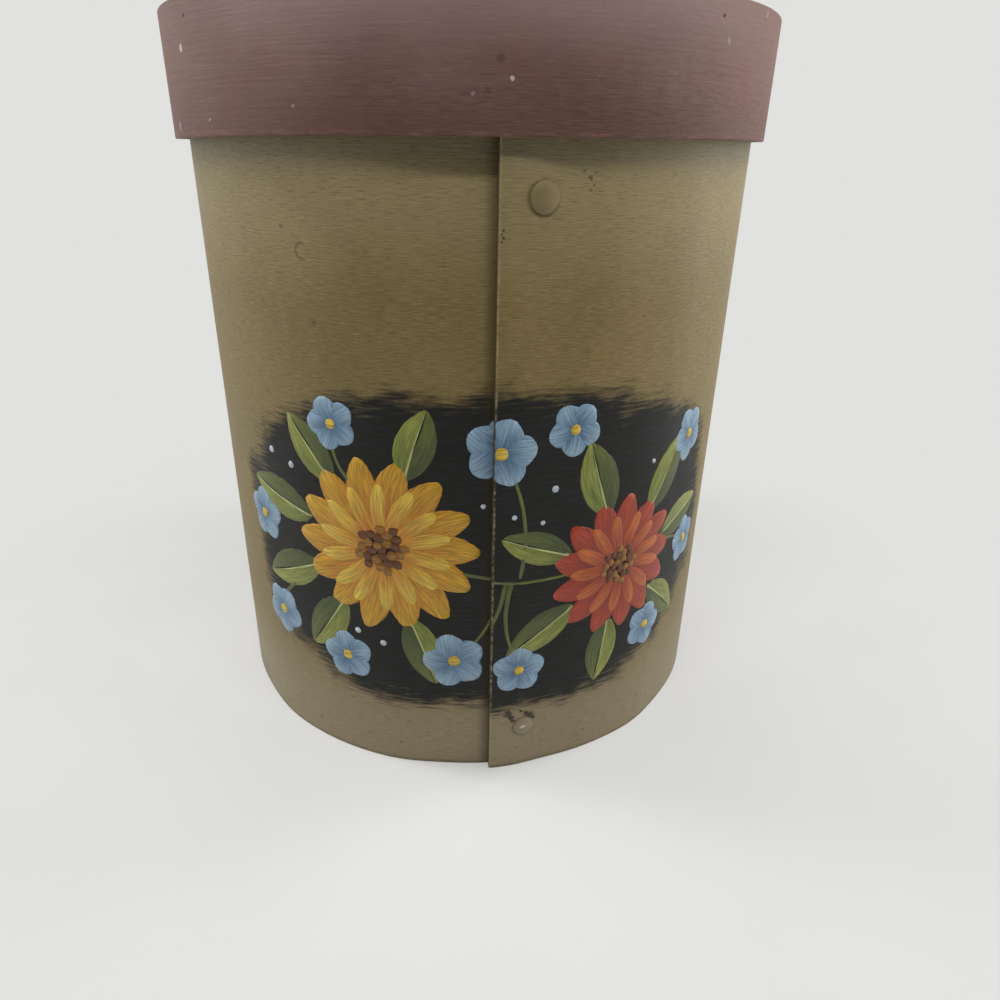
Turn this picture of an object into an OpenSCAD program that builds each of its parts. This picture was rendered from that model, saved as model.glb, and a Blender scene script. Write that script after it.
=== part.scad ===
// Bentwood pantry box
// A round box of thin bent wood: each band is one strip lapped on itself and
// riveted, each panel is held in its band by a ring of brads, and the deep lid
// lifts straight off. Sizes are in millimetres. The front is -Y, where the end
// of the body's lap shows; angles run from the front towards +X.

/* [Body] */
// Outside diameter of the body band where it is a single layer
body_d = 178; // [140:1:240]
// Height of the body band
body_h = 211.1; // [120:0.1:300]
// Thickness of the body band
band_t = 2.4; // [1.8:0.1:3.2]
// Thickness of the bottom panel
bottom_t = 9; // [6:0.5:14]
// Height of the bottom panel above the band's lower edge
bottom_rise = 3; // [1:0.5:8]

/* [Lid] */
// Height of the lid band
lid_h = 30.4; // [24:0.1:60]
// Thickness of the lid band
lid_band_t = 2.1; // [1.5:0.1:3]
// Thickness of the lid's top panel
lid_panel_t = 9; // [6:0.5:12]
// Gap between the lid band and the body at its widest
lid_clear = 0.3; // [0.2:0.05:0.8]
// Angle of the lid's own seam, round from the front
lid_seam_a = 97; // [90:1:105]

/* [Lap seams] */
// Length of body band that lies doubled
lap_len = 38; // [28:1:55]
// Length in which the body's outer layer comes down to a single one
ramp_len = 55; // [40:1:80]
// Length of lid band that lies doubled
lid_lap_len = 30; // [24:1:45]
// Length in which the lid's outer layer comes down to a single one
lid_ramp_len = 48; // [36:1:70]
// Thickness that a band's inner end is thinned to
tip_t = 0.4; // [0.3:0.05:0.8]
// Thickness of the glue line between two layers
glue_t = 0.1; // [0.05:0.05:0.2]

/* [Rivets] */
// Diameter of a rivet cap
cap_d = 7.8; // [6:0.1:10]
// Height of a rivet cap at its middle
cap_h = 1.5; // [1:0.1:2]
// Height of a rivet cap at its edge
cap_edge = 0.6; // [0.4:0.1:0.8]
// Thickness of the cap on the inside
back_cap_t = 0.7; // [0.5:0.05:0.8]
// Diameter of a rivet's post
post_d = 3; // [2:0.1:4]
// Distance of the rivets from the end of the lap
rivet_inset = 11.4; // [8:0.1:16]
// Gap between the lid's rim and the upper rivet's cap
upper_gap = 9.3; // [4:0.1:40]
// Gap between the bottom panel and the lower rivet's inside cap
lower_gap = 0.5; // [0.5:0.1:20]

/* [Brads] */
// Diameter of a brad's shank
brad_d = 1.2; // [0.9:0.1:1.6]
// Diameter of a brad's head
brad_head_d = 1.8; // [1.7:0.1:2.4]
// Thickness of a brad's head
brad_head_t = 0.5; // [0.3:0.1:0.8]
// Length of a brad
brad_len = 16; // [12:1:22]
// Depth of a brad's head below the wood's surface
brad_sink = 0.3; // [0.1:0.1:0.5]
// Distance of the lap's own brad from the end of the lap
lap_brad_inset = 9; // [5:0.5:14]
// Number of brads round the bottom
bottom_brad_n = 18; // [8:1:24]
// Turn of the ring of brads round the bottom
bottom_brad_a = 1.5; // [0:0.5:15]
// Number of brads round the lid
lid_brad_n = 16; // [8:1:24]
// Turn of the ring of brads round the lid
lid_brad_a = 13.4; // [0:0.1:15]

/* [Fits] */
// Gap round a panel's edge in its band
panel_fit = 0.05; // [0.02:0.01:0.15]
// Gap round a brad or a rivet's post in its hole
pin_fit = 0.05; // [0.02:0.01:0.1]
// Gap under a rivet cap at its closest
seat_gap = 0.02; // [0.01:0.01:0.05]

/* [Hidden] */
$fn = 96;
body_r = body_d / 2;
body_in_r = body_r - band_t;
body_step = band_t + glue_t;
body_lap_r = body_r + body_step;
body_lap_a = lap_len / body_lap_r * 180 / PI;
body_ramp_a = ramp_len / body_lap_r * 180 / PI;
lid_shift = body_step / 2;
lid_in_r = body_r + lid_shift + lid_clear;
lid_r = lid_in_r + lid_band_t;
lid_step = lid_band_t + glue_t;
lid_lap_r = lid_r + lid_step;
lid_lap_a = lid_lap_len / lid_lap_r * 180 / PI;
lid_ramp_a = lid_ramp_len / lid_lap_r * 180 / PI;
lid_top_z = body_h + lid_panel_t;
lid_rim_z = lid_top_z - lid_h;
bottom_top_z = bottom_rise + bottom_t;
bottom_brad_z = bottom_rise + bottom_t / 2;
lid_brad_z = body_h + lid_panel_t / 2;
upper_z = lid_rim_z - upper_gap - cap_d / 2;
lower_z = bottom_top_z + lower_gap + cap_d / 2;
lid_rivet_z = (lid_rim_z + body_h) / 2;
body_rivet_a = rivet_inset / body_lap_r * 180 / PI;
lid_rivet_a = lid_seam_a + rivet_inset / lid_lap_r * 180 / PI;
lap_brad_a = lap_brad_inset / body_lap_r * 180 / PI;
dome_rise = cap_h - cap_edge;
dome_r = (cap_d * cap_d / 4 + dome_rise * dome_rise) / (2 * dome_rise);
brad_point = 2 * brad_d;
over = 4;

// Which sub-part to draw

// Depth that a flat cap of this width takes up in a hollow of this radius
function sag(r, w) = r - sqrt(r * r - w * w / 4);

// How far off centre the arc lies that carries a lapped layer down by one step
function ramp_off(step, ramp_a) = step / (2 * sin(ramp_a / 2));

// Radius of that arc
function ramp_r(r, step, ramp_a) = let(m = r + step / 2, c = ramp_off(step, ramp_a) * cos(ramp_a / 2))
    sqrt(m * m + c * c);

// Distance to a circle of radius r set off by k, at angle d from the way it is set off
function off_circle(r, k, d) = k * cos(d) + sqrt(r * r - k * k * sin(d) * sin(d));

// Radius of a lapped band's outside, at angle a past the end of its lap
function skin(a, r, step, lap_a, ramp_a) =
    a <= lap_a ? r + step :
    a >= lap_a + ramp_a ? r :
    off_circle(ramp_r(r, step, ramp_a), ramp_off(step, ramp_a), a - lap_a - ramp_a / 2 + 90);

// Angle brought into one turn
function turn(a) = a - 360 * floor(a / 360);

function bottom_brad_angle(i) = i == 0 ? lap_brad_a : i * 360 / bottom_brad_n + bottom_brad_a;
function bottom_skin(a) = skin(turn(a), body_r, body_step, body_lap_a, body_ramp_a);
function lid_brad_angle(i) = i * 360 / lid_brad_n + lid_brad_a;
function lid_skin(a) = skin(turn(a - lid_seam_a), lid_r, lid_step, lid_lap_a, lid_ramp_a);

// Children drawn along +Z come to lie along the radius at this angle and height
module radial(a, z) {
    translate([0, 0, z]) rotate([0, 0, a - 90]) rotate([0, 90, 0]) children();
}

// Flat wedge from the centre between two angles
module wedge(a_from, a_to, reach) {
    polygon([[0, 0], for (i = [0 : 3]) let(a = a_from + (a_to - a_from) * i / 3)
        [reach * sin(a), -reach * cos(a)]]);
}

// Disc under the ramp's arc, smaller than the ramp itself by depth
module ramp_disc(r, step, lap_a, ramp_a, depth) {
    rotate(lap_a + ramp_a / 2 - 180) translate([ramp_off(step, ramp_a), 0])
        circle(r = ramp_r(r, step, ramp_a) - depth);
}

// Flat outline of one strip lapped on itself, its inner end thinned under the ramp
module strip_outline(r, t, step, lap_a, ramp_a) {
    difference() {
        union() {
            circle(r = r);
            intersection() {
                circle(r = r + step);
                ramp_disc(r, step, lap_a, ramp_a, 0);
                wedge(0, lap_a + ramp_a + over, 2 * r);
            }
        }
        circle(r = r - t);
        difference() {
            intersection() {
                circle(r = r + step - t);
                ramp_disc(r, step, lap_a, ramp_a, t);
                wedge(-over, lap_a + ramp_a + over, 2 * r);
            }
            intersection() {
                circle(r = r);
                ramp_disc(r, step, lap_a, ramp_a, step);
                wedge(-2 * over, lap_a + ramp_a * (1 - (tip_t + glue_t) / step), 2 * r);
            }
        }
    }
}

module lapped_strip(r, t, step, lap_a, ramp_a, h) {
    linear_extrude(height = h) strip_outline(r, t, step, lap_a, ramp_a);
}

// Domed cap and post of a rivet, set on an outside radius, with the post ending at end_r
module rivet(seat_r, end_r) {
    translate([0, 0, seat_r]) rotate_extrude() intersection() {
        translate([0, cap_h - dome_r]) circle(r = dome_r);
        square([cap_d / 2, cap_h]);
    }
    translate([0, 0, end_r]) cylinder(d = post_d, h = seat_r + cap_edge / 2 - end_r);
}

// Inside cap of a rivet: a disc that the post's end fills
module back_cap(face_r) {
    translate([0, 0, face_r]) difference() {
        cylinder(d = cap_d, h = back_cap_t);
        translate([0, 0, -over]) cylinder(d = post_d + 2 * pin_fit, h = back_cap_t + 2 * over);
    }
}

// Hole for a rivet's post through both layers
module rivet_hole(r) {
    translate([0, 0, r - 3 * band_t]) cylinder(d = post_d + 2 * pin_fit, h = 8 * band_t);
}

// One brad, its head just under the surface at skin_r
module brad(skin_r) {
    translate([0, 0, skin_r - brad_sink - brad_head_t]) cylinder(d = brad_head_d, h = brad_head_t);
    translate([0, 0, skin_r - brad_len + brad_point])
        cylinder(d = brad_d, h = brad_len - brad_point - brad_sink - brad_head_t / 2);
    translate([0, 0, skin_r - brad_len]) cylinder(d1 = brad_d / 6, d2 = brad_d, h = brad_point);
}

// Pilot hole and sunk pit for one brad
module brad_hole(skin_r) {
    translate([0, 0, skin_r - brad_len - pin_fit]) cylinder(d = brad_d + 2 * pin_fit, h = brad_len);
    translate([0, 0, skin_r - brad_sink - brad_head_t - pin_fit])
        cylinder(d = brad_head_d + 2 * pin_fit, h = over);
}

module bottom_brad_holes() {
    for (i = [0 : bottom_brad_n - 1])
        radial(bottom_brad_angle(i), bottom_brad_z) brad_hole(bottom_skin(bottom_brad_angle(i)));
}

module lid_brad_holes() {
    for (i = [0 : lid_brad_n - 1])
        radial(lid_brad_angle(i), lid_brad_z) brad_hole(lid_skin(lid_brad_angle(i)));
}

// The lid is centred over the body and its lap together
module lid_place() {
    translate([0, -lid_shift, 0]) children();
}

module body_band() {
    color("#7a6e50") difference() {
        lapped_strip(body_r, band_t, body_step, body_lap_a, body_ramp_a, body_h);
        radial(body_rivet_a, upper_z) rivet_hole(body_r);
        radial(body_rivet_a, lower_z) rivet_hole(body_r);
        bottom_brad_holes();
    }
}

module bottom_panel() {
    color("#b8965f") difference() {
        translate([0, 0, bottom_rise]) cylinder(r = body_in_r - panel_fit, h = bottom_t);
        bottom_brad_holes();
    }
}

module bottom_brads() {
    color("#4a443c") for (i = [0 : bottom_brad_n - 1])
        radial(bottom_brad_angle(i), bottom_brad_z) brad(bottom_skin(bottom_brad_angle(i)));
}

body_back_r = body_in_r - sag(body_in_r, cap_d) - seat_gap - back_cap_t;

module upper_seam_rivet() {
    color("#7a6e50") radial(body_rivet_a, upper_z) rivet(body_lap_r + seat_gap, body_back_r);
}

module upper_rivet_back_cap() {
    color("#9a958c") radial(body_rivet_a, upper_z) back_cap(body_back_r);
}

module lower_seam_rivet() {
    color("#7a6e50") radial(body_rivet_a, lower_z) rivet(body_lap_r + seat_gap, body_back_r);
}

module lower_rivet_back_cap() {
    color("#9a958c") radial(body_rivet_a, lower_z) back_cap(body_back_r);
}

module lid_band() {
    color("#6a5650") lid_place() difference() {
        translate([0, 0, lid_rim_z]) rotate([0, 0, lid_seam_a])
            lapped_strip(lid_r, lid_band_t, lid_step, lid_lap_a, lid_ramp_a, lid_h);
        radial(lid_rivet_a, lid_rivet_z) rivet_hole(lid_r);
        lid_brad_holes();
    }
}

module lid_panel() {
    color("#6a5650") lid_place() difference() {
        translate([0, 0, body_h]) cylinder(r = lid_in_r - panel_fit, h = lid_panel_t);
        lid_brad_holes();
    }
}

module lid_brads() {
    color("#4a443c") lid_place() for (i = [0 : lid_brad_n - 1])
        radial(lid_brad_angle(i), lid_brad_z) brad(lid_skin(lid_brad_angle(i)));
}

lid_back_r = lid_in_r - sag(lid_in_r, cap_d) - seat_gap - back_cap_t;

module lid_seam_rivet() {
    color("#6a5650") lid_place() radial(lid_rivet_a, lid_rivet_z) rivet(lid_lap_r + seat_gap, lid_back_r);
}

module lid_rivet_back_cap() {
    color("#9a958c") lid_place() radial(lid_rivet_a, lid_rivet_z) back_cap(lid_back_r);
}

body_band();
bottom_panel();
bottom_brads();
upper_seam_rivet();
upper_rivet_back_cap();
lower_seam_rivet();
lower_rivet_back_cap();
lid_band();
lid_panel();
lid_brads();
lid_seam_rivet();
lid_rivet_back_cap();
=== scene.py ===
"""Bentwood pantry box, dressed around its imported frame.

Each band is drawn as the flat board it was cut from, with its pits and worn
edges, and a node tree then bends it round and laps it on itself. Rivets, brads
and brush strokes are set on the flat board and bent by the same tree.
"""
import math

import bmesh
import bpy
from bpy.props import FloatProperty, FloatVectorProperty, IntProperty, PointerProperty
from mathutils import Matrix, Vector, noise


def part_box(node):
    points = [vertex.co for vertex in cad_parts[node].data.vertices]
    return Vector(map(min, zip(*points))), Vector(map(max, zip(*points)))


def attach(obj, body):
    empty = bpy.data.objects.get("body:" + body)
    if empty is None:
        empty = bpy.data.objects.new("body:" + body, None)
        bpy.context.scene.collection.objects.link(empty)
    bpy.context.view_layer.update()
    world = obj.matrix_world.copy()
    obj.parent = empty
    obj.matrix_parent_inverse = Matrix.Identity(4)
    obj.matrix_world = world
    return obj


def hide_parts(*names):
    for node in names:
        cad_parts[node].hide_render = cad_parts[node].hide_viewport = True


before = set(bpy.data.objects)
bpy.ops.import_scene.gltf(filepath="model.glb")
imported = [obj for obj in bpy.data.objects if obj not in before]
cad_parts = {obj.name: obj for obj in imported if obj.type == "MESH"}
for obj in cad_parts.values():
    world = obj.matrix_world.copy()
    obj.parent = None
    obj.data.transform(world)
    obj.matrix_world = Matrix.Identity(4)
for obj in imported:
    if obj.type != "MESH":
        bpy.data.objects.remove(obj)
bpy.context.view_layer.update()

bl_info = {
    "name": "Bentwood pantry box",
    "version": (1, 0, 0),
    "blender": (4, 5, 0),
    "location": "3D View > Sidebar > Pantry Box",
    "description": "Builds a lapped and riveted bentwood box with a lift-off lid",
    "category": "Object",
}

MM = 0.001
TO_MM = 1000.0
TURN = 2 * math.pi

# Sizes that the frame already holds
BAND_LOW, BAND_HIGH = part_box("body_band")
LID_LOW, LID_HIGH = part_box("lid_band")
TOP_LOW, TOP_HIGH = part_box("lid_panel")
BODY_RADIUS = -BAND_LOW.x
BODY_STEP = -BAND_LOW.y - BODY_RADIUS
LID_RADIUS = -LID_LOW.x
LID_CENTRE_Y = (TOP_LOW.y + TOP_HIGH.y) / 2
LID_INNER = (TOP_HIGH.y - TOP_LOW.y) / 2

# Where the body's band springs out of round: from and to in degrees from the front, and mm outwards
SPRING = ((-64, -46, 1.0), (-22, -8, -1.0), (0.5, 14, -1.6), (24, 40, 1.2), (42, 60, 1.0), (90, 130, -0.6))
# One lid brad in four is open, counted from this one; the others are stopped and painted over
OPEN_BRAD, OPEN_EVERY = 1, 4
# The inner end of a band is thinned to a share of its wall, and runs under a share of the ramp
THIN_END, UNDER_RAMP = 0.02, 0.8
# Length of a slow waver in bent wood
WAVER_LONG = 45 * MM
# How low the lid's rim hangs all round and how much more at its lowest, in mm, and the angle of that
SAG, MORE_SAG, SAG_ANGLE = 0.5, 0.95, -95
# Scale of a fastener that is as large as the others in its row
FULL_SIZE = (1.0, 1.0, 1.0)
# Steps round an eased edge, and the angle of one
EASE_STEPS, EASE_ANGLE = 5, 22.5
# Gaps in a board's mesh: between rows outside, between rows inside and along it
ROW_GAP, INNER_GAP, ALONG_GAP = 5 * MM, 12 * MM, 3.9 * MM
# Bites out of a band's end, each its depth, its length and a place in the noise
BITES = ((0.22 * MM, 3.2 * MM, 5.0), (0.12 * MM, 1.1 * MM, 9.0))
# How far a band's edges waver, over what length, and how far in from the edge
EDGE_LIFT, LIFT_LONG, LIFT_WIDE = 0.12 * MM, 28 * MM, 4 * MM
# A brad's pit: radius of its floor, of its rim and of the finer mesh round it, and the gap in that mesh
PIT_FLOOR, PIT_RIM, PIT_REACH, PIT_FINE = 0.2 * MM, 0.6 * MM, 0.8 * MM, 0.16 * MM
# Sides of the turned pieces
BOARD_SIDES, RIVET_SIDES, BRAD_SIDES = 192, 48, 16
# In mm: how deep a brush stroke's rim lies in the paint below, and where strokes stop at the lap's end
STROKE_SUNK, STROKE_STOP = 0.03, 0.35

# Camera: place in metres, then its turns in degrees to the side, down from level and over
CAMERA_PLACE = (-0.01989, -0.28025, 0.18741)
CAMERA_TURNS = ((-5.128, "Z"), (90 - 25.113, "X"), (0.65, "Z"))
SENSOR, LENS, SHIFT_X = 36.0, 27.23, 0.0176


def linear(code):
    """Linear colour of an sRGB hex value."""
    channels = [int(code[i:i + 2], 16) / 255 for i in (1, 3, 5)]
    return [c / 12.92 if c <= 0.04045 else ((c + 0.055) / 1.055) ** 2.4 for c in channels] + [1.0]


def tones(*codes):
    """Linear colours of several sRGB hex values."""
    return [linear(code) for code in codes]


WHITE = linear("#ffffff")


def length(name, text, default):
    return FloatProperty(name=name, description=text, default=default, subtype="DISTANCE", unit="LENGTH")


def rotation(name, text, degrees):
    return FloatProperty(name=name, description=text, default=math.radians(degrees), subtype="ANGLE",
                         unit="ROTATION")


def power(name, text, watts):
    return FloatProperty(name=name, description=text, default=watts, unit="POWER")


def colour(name, text, code):
    return FloatVectorProperty(name=name, description=text, default=linear(code), subtype="COLOR",
                               size=4, min=0, max=1)


class PantryBoxSizes(bpy.types.PropertyGroup):
    """Sizes of the bands, boards and fasteners."""
    glue: length("Glue line", "Gap between the two layers of a lap", 0.1 * MM)
    lap: length("Body lap", "Length of body band that lies doubled", 38 * MM)
    ramp: length("Body ramp", "Length in which the body's outer layer comes down", 55 * MM)
    lid_lap: length("Lid lap", "Length of lid band that lies doubled", 30 * MM)
    lid_ramp: length("Lid ramp", "Length in which the lid's outer layer comes down", 48 * MM)
    lid_seam: rotation("Lid seam", "Angle of the lid's seam from the front", 97)
    waver: length("Waver", "How far the bent wood strays from round", 0.12 * MM)
    ease: length("Eased edge", "Radius that the bands' edges are worn to", 0.35 * MM)
    rivet_inset: length("Rivet inset", "Distance of the rivets from the end of the lap", 11.4 * MM)
    lap_brad: length("Lap brad", "Distance of the lap's own brad from the end of the lap", 9 * MM)
    brad_sink: length("Brad sink", "Depth of a brad's head below the wood", 0.3 * MM)
    pit: length("Brad pit", "Depth of the pit over a brad", 0.4 * MM)
    stopped_pit: length("Stopped pit", "Depth of the pit over a stopped brad", 0.06 * MM)
    bottom_brads: IntProperty(name="Bottom brads", description="Brads round the bottom", default=18)
    bottom_turn: rotation("Bottom brad turn", "Turn of the bottom ring of brads", 1.5)
    lid_brads: IntProperty(name="Lid brads", description="Brads round the lid", default=16)
    lid_turn: rotation("Lid brad turn", "Turn of the lid's ring of brads", 13.4)


class PantryBoxColours(bpy.types.PropertyGroup):
    """Colours of the paints and the wood."""
    khaki: colour("Khaki paint", "Body paint where it lies thick", "#8f7d53")
    khaki_deep: colour("Khaki in the grain", "Body paint in the grain's hollows", "#817148")
    maroon: colour("Maroon paint", "Lid paint where it lies thick", "#886e66")
    maroon_deep: colour("Maroon in the grain", "Lid paint in the grain's hollows", "#785d55")
    ground: colour("Dark ground", "Dry-brushed ground behind the flowers", "#0f1316")
    wood: colour("Bare wood", "Unpainted wood", "#c4a578")
    wood_deep: colour("Bare wood's late grain", "Darker rings of the unpainted wood", "#9c7a4e")
    steel: colour("Rivet steel", "Plated steel of the inside caps", "#a8a49c")


class PantryBoxStage(bpy.types.PropertyGroup):
    """Floor, backdrop and lamps."""
    sheet: colour("Backdrop", "Paper sweep under and behind the box", "#e5e5e3")
    key: power("Front strip", "Power of the strip lamp over the front", 1.95)
    side_strip: power("Side strips", "Power of the strip lamp over the left side", 1.35)
    wall: power("Side walls", "Power of the tent's left wall", 0.9)


def settings():
    """The scene's sizes, colours and stage."""
    scene = bpy.context.scene
    return scene.pantry_box_sizes, scene.pantry_box_colours, scene.pantry_box_stage


# Kinds of node that are used often, some with the setting that makes them what they are
MATH, VECTOR, RANGE = "ShaderNodeMath", "ShaderNodeVectorMath", "ShaderNodeMapRange"
NOISE, MAPPING, ATTRIBUTE = "ShaderNodeTexNoise", "ShaderNodeMapping", "ShaderNodeAttribute"
PLUS, MINUS, TIMES, TIMES_PLUS, SIZE_OF, LARGER, ABOVE, BELOW = [
    (MATH, {"operation": name}) for name in ("ADD", "SUBTRACT", "MULTIPLY", "MULTIPLY_ADD", "ABSOLUTE",
                                             "MAXIMUM", "GREATER_THAN", "LESS_THAN")]
V_MINUS, V_TIMES, V_TIMES_PLUS, V_SCALE = [
    (VECTOR, {"operation": name}) for name in ("SUBTRACT", "MULTIPLY", "MULTIPLY_ADD", "SCALE")]
SMOOTH = (RANGE, {"interpolation_type": "SMOOTHSTEP"})
MIX = ("ShaderNodeMix", {"data_type": "RGBA"})
PAINT_ON = "GeometryNodeSetMaterial"


def add(tree, kind, *sockets, out=0, **options):
    """Adds a node with its settings, sets or links its sockets, and gives the output asked for.

    The sockets come in their own order, or as one dict by name or number.
    """
    kind, setting = (kind, {}) if isinstance(kind, str) else kind
    node = tree.nodes.new(kind)
    for key, value in {**setting, **options}.items():
        setattr(node, key, value)
    by_name = sockets and isinstance(sockets[0], dict)
    for key, value in sockets[0].items() if by_name else enumerate(sockets):
        if isinstance(value, bpy.types.NodeSocket):
            tree.links.new(value, node.inputs[key])
        else:
            node.inputs[key].default_value = value
    return node if out is None else node.outputs[out]


def geometry_tree(name, inputs):
    """Empty geometry tree with these named kinds of input: returns it, its given sockets and its result."""
    tree = bpy.data.node_groups.new(name, "GeometryNodeTree")
    tree.interface.new_socket("Geometry", in_out="INPUT", socket_type="NodeSocketGeometry")
    for label, kind in inputs.items():
        tree.interface.new_socket(label, in_out="INPUT", socket_type="NodeSocket" + kind)
    tree.interface.new_socket("Geometry", in_out="OUTPUT", socket_type="NodeSocketGeometry")
    given = add(tree, "NodeGroupInput", out=None).outputs
    return tree, given, add(tree, "NodeGroupOutput", out=None).inputs["Geometry"]


BEND_INPUTS = dict.fromkeys(("Radius", "Wall", "Step", "Lap Angle", "Ramp Angle", "Seam", "Centre Y",
                             "Waver", "Spring"), "Float")


def bend_tree():
    """Bends what lies on a flat board round a circle and over its own lap.

    On the flat board X runs along it from the outer end, Y is 0 at the outer face
    and grows outwards, and Z is the height. The flat place is kept as "board".
    """
    tree, given, result = geometry_tree("Bend round and lap", BEND_INPUTS)
    flat = add(tree, "GeometryNodeInputPosition")
    kept = add(tree, "GeometryNodeStoreNamedAttribute",
               {"Geometry": given["Geometry"], "Name": "board", "Value": flat},
               data_type="FLOAT_VECTOR", domain="POINT")
    part = add(tree, "ShaderNodeSeparateXYZ", flat, out=None).outputs
    angle = add(tree, MATH, part["X"], given["Radius"], operation="DIVIDE")
    ramp_end = add(tree, PLUS, given["Lap Angle"], given["Ramp Angle"])
    rise = add(tree, SMOOTH, angle, given["Lap Angle"], ramp_end, given["Step"], 0.0)
    # The inner end is thinned so that it lies under the ramp
    under = add(tree, MINUS, angle, TURN)
    thin = add(tree, SMOOTH, under, given["Lap Angle"], ramp_end, 1.0, THIN_END)
    depth = add(tree, PLUS, part["Y"], given["Wall"])
    depth = add(tree, TIMES, depth, thin)
    depth = add(tree, MINUS, depth, given["Wall"])
    # Bent wood is never quite round: it has a slow waver, and the body's band springs
    uneven = add(tree, NOISE, {"Vector": flat, "Scale": 1 / WAVER_LONG, "Detail": 1.0})
    uneven = add(tree, MINUS, uneven, 0.5)
    uneven = add(tree, TIMES_PLUS, uneven, given["Waver"], depth)
    radius = add(tree, PLUS, given["Radius"], rise)
    radius = add(tree, PLUS, radius, uneven)
    swing = add(tree, MATH, angle, math.pi, -math.pi, operation="WRAP")
    swing = add(tree, MATH, swing, operation="DEGREES")
    spring = 0.0
    for start, end, out in SPRING:
        share = add(tree, SMOOTH, swing, start, end, 0.0, out)
        spring = add(tree, PLUS, share, spring)
    radius = add(tree, TIMES_PLUS, spring, given["Spring"], radius)
    turned = add(tree, PLUS, angle, given["Seam"])
    sine = add(tree, MATH, turned, operation="SINE")
    cosine = add(tree, MATH, turned, operation="COSINE")
    across = add(tree, TIMES, radius, sine)
    back = add(tree, TIMES, radius, cosine)
    back = add(tree, MINUS, given["Centre Y"], back)
    place = add(tree, "ShaderNodeCombineXYZ", across, back, part["Z"])
    bent = add(tree, "GeometryNodeSetPosition", {"Geometry": kept, "Position": place})
    tree.links.new(bent, result)
    return tree


def band_tree(bend):
    """A flat board bent into a band, painted outside and bare inside."""
    inputs = {**BEND_INPUTS, "Paint": "Material", "Bare": "Material"}
    tree, given, result = geometry_tree("Bent band", inputs)
    shared = {label: given[label] for label in BEND_INPUTS}
    bent = add(tree, "GeometryNodeGroup", {"Geometry": given["Geometry"], **shared}, node_tree=bend)
    whole = add(tree, "GeometryNodeRealizeInstances", bent)
    painted = add(tree, PAINT_ON, {"Geometry": whole, "Material": given["Paint"]})
    inside = add(tree, "GeometryNodeInputNamedAttribute", {"Name": "inside"}, data_type="BOOLEAN")
    bare = add(tree, PAINT_ON, {"Geometry": painted, "Selection": inside, "Material": given["Bare"]})
    tree.links.new(bare, result)
    return tree


def fastener_tree(bend):
    """Copies of one fastener in a row along the flat board, bent with it."""
    places = dict.fromkeys(("First", "Pitch", "First Shift", "First Scale"), "Vector")
    inputs = {**BEND_INPUTS, "Count": "Int", **places, "Finish": "Material"}
    tree, given, result = geometry_tree("Fasteners in a band", inputs)
    row = add(tree, "GeometryNodeMeshLine", {"Count": given["Count"], "Start Location": given["First"],
                                             "Offset": given["Pitch"]}, mode="OFFSET")
    index = add(tree, "GeometryNodeInputIndex")
    first = add(tree, "FunctionNodeCompare", {2: index, 3: 0}, data_type="INT", operation="EQUAL")
    row = add(tree, "GeometryNodeSetPosition",
              {"Geometry": row, "Selection": first, "Offset": given["First Shift"]})
    scale = add(tree, "GeometryNodeSwitch", first, FULL_SIZE, given["First Scale"], input_type="VECTOR")
    copies = add(tree, "GeometryNodeInstanceOnPoints",
                 {"Points": row, "Instance": given["Geometry"], "Scale": scale})
    whole = add(tree, "GeometryNodeRealizeInstances", copies)
    shared = {label: given[label] for label in BEND_INPUTS}
    bent = add(tree, "GeometryNodeGroup", {"Geometry": whole, **shared}, node_tree=bend)
    finished = add(tree, PAINT_ON, {"Geometry": bent, "Material": given["Finish"]})
    tree.links.new(finished, result)
    return tree


def tree_named(name):
    """The named tree, made when it is first asked for."""
    if "Bend round and lap" not in bpy.data.node_groups:
        bend = bend_tree()
        band_tree(bend)
        fastener_tree(bend)
    return bpy.data.node_groups[name]


def bend_values(lid):
    """Inputs of the bend for the lid or the body."""
    size = settings()[0]
    if lid:
        radius, wall, lap, ramp = LID_RADIUS, LID_RADIUS - LID_INNER, size.lid_lap, size.lid_ramp
        step = wall + size.glue
    else:
        radius, wall, lap, ramp = BODY_RADIUS, BODY_STEP - size.glue, size.lap, size.ramp
        step = BODY_STEP
    return {"Radius": radius, "Wall": wall, "Step": step,
            "Lap Angle": lap / (radius + step), "Ramp Angle": ramp / (radius + step),
            "Seam": size.lid_seam if lid else 0.0, "Centre Y": LID_CENTRE_Y if lid else 0.0,
            "Waver": size.waver, "Spring": 0.0 if lid else MM}


def new_object(name, verts, faces):
    """A mesh object in the scene, at the origin."""
    mesh = bpy.data.meshes.new(name)
    mesh.from_pydata(verts, [], faces)
    obj = bpy.data.objects.new(name, mesh)
    bpy.context.scene.collection.objects.link(obj)
    return obj


def outward(obj):
    """Merges doubles, turns every face outwards and shades it smooth."""
    work = bmesh.new()
    work.from_mesh(obj.data)
    bmesh.ops.remove_doubles(work, verts=work.verts, dist=0.002 * MM)
    bmesh.ops.recalc_face_normals(work, faces=work.faces)
    for face in work.faces:
        face.smooth = True
    work.to_mesh(obj.data)
    work.free()


def shape(obj, tree_name, values):
    """Runs a tree on an object and keeps the result as its plain mesh."""
    tree = tree_named(tree_name)
    modifier = obj.modifiers.new(tree_name, "NODES")
    modifier.node_group = tree
    for item in tree.interface.items_tree:
        if item.in_out == "INPUT" and item.name in values:
            modifier[item.identifier] = values[item.name]
    graph = bpy.context.evaluated_depsgraph_get()
    mesh = bpy.data.meshes.new_from_object(obj.evaluated_get(graph), preserve_all_data_layers=True,
                                           depsgraph=graph)
    obj.modifiers.remove(modifier)
    flat = obj.data
    obj.data = mesh
    bpy.data.meshes.remove(flat)
    mesh.name = obj.name
    outward(obj)


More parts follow.
